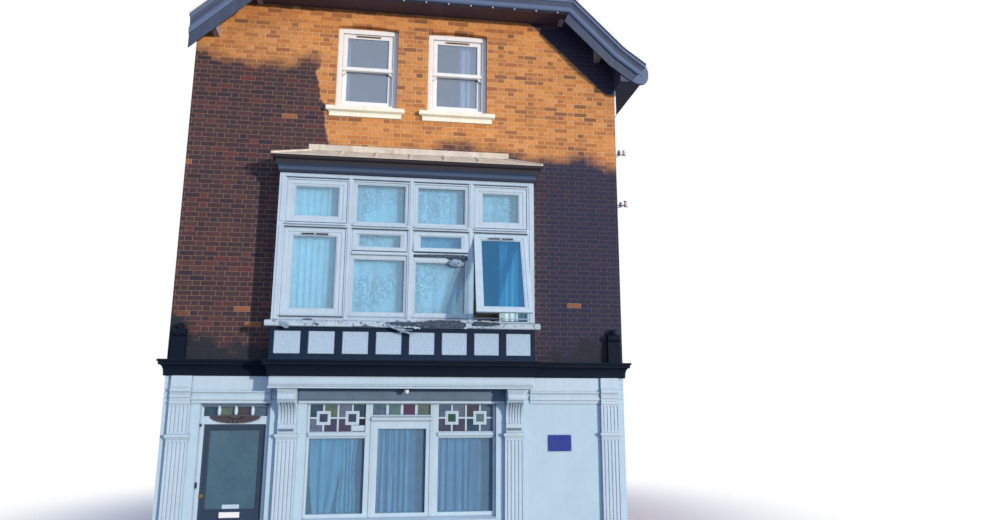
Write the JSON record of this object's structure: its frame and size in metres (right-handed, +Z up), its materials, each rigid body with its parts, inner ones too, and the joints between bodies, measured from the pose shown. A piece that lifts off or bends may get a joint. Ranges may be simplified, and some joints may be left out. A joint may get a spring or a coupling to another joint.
{
  "type": "corner shop building",
  "caption": "Narrow brick town house with a painted timber shop front, a bay window over it, sash windows below a half-hipped tiled gable, and a street door that opens.",
  "frame": {"origin": "on the ground below the middle of the plan", "axes": "+X along the front, to the right seen from the street; +Y from the street into the house; +Z up"},
  "size_m": [7.404, 9.2499, 11.669],
  "materials": {
    "brick": "matte",
    "white_wall": "matte paint",
    "white_timber": "satin paint",
    "black_timber": "satin paint",
    "blue_grey_timber": "satin paint",
    "brown_timber": "satin paint",
    "roof_tile": "matte",
    "stone_paint": "matte paint",
    "roughcast": "rough",
    "lead": "matte",
    "clear_glass": "clear",
    "coloured_glass": "clear",
    "door_timber": "gloss paint",
    "door_pane": "obscured",
    "brass": "polished",
    "steel": "brushed",
    "gutter": "satin",
    "floor_timber": "matte",
    "concrete": "matte",
    "curtain": "woven",
    "insulator": "glazed"
  },
  "bodies": {
    "house": {"front_piers": "white_wall", "front_wall_right": "white_wall", "shop_beam": "brick", "front_walls_upper": "brick", "gable_wall": "brick", "gable_piers": "brick", "gable_head": "brick", "party_wall": "brick", "right_wall": "brick", "rear_wall": "brick", "ground_floor": "concrete", "first_floor": "floor_timber", "second_floor": "floor_timber", "roof_left": "roof_tile", "roof_right": "roof_tile", "roof_half_hips": "roof_tile", "ridge_tiles": "roof_tile", "bargeboards": "blue_grey_timber", "soffits": "brown_timber", "side_eave_boards": "blue_grey_timber", "side_gutter": "gutter", "purlin_ends": "blue_grey_timber", "window_frames": "white_timber", "window_sashes": "white_timber", "window_glass": "clear_glass", "window_sills": "stone_paint", "bay_frame": "white_timber", "bay_cheeks": "white_timber", "bay_ceiling": "white_timber", "bay_casements": "white_timber", "bay_glass": "clear_glass", "bay_sill": "white_timber", "bay_base": "black_timber", "bay_panels": "roughcast", "bay_fascia": "black_timber", "bay_roof": "lead", "bay_flashing": "lead", "shop_cornice": "black_timber", "cornice_finials": "black_timber", "shop_frieze": "white_timber", "name_board": "white_timber", "pilasters": "white_timber", "consoles": "white_timber", "shop_frame": "white_timber", "shop_toplights": "white_timber", "shop_glass": "coloured_glass", "shop_sill": "white_timber", "stall_riser": "white_timber", "door_frame": "white_timber", "shell_hood": "brown_timber", "hinge_pins": "steel", "door_step": "concrete", "line_brackets": "insulator", "corner_board": "white_timber", "curtain_rails": "white_timber", "curtains": "curtain"},
    "door": {"door_leaf": "door_timber", "door_panes": "door_pane", "door_furniture": "brass", "door_knuckles": "steel"}
  },
  "joints": [
    {"name": "street_door_hinge", "type": "hinge", "parent": "house", "child": "door", "pos_m": [-1.9665, -3.848, 1.113], "axis": [0, 0, -1], "range_deg": [0, 90]}
  ]
}
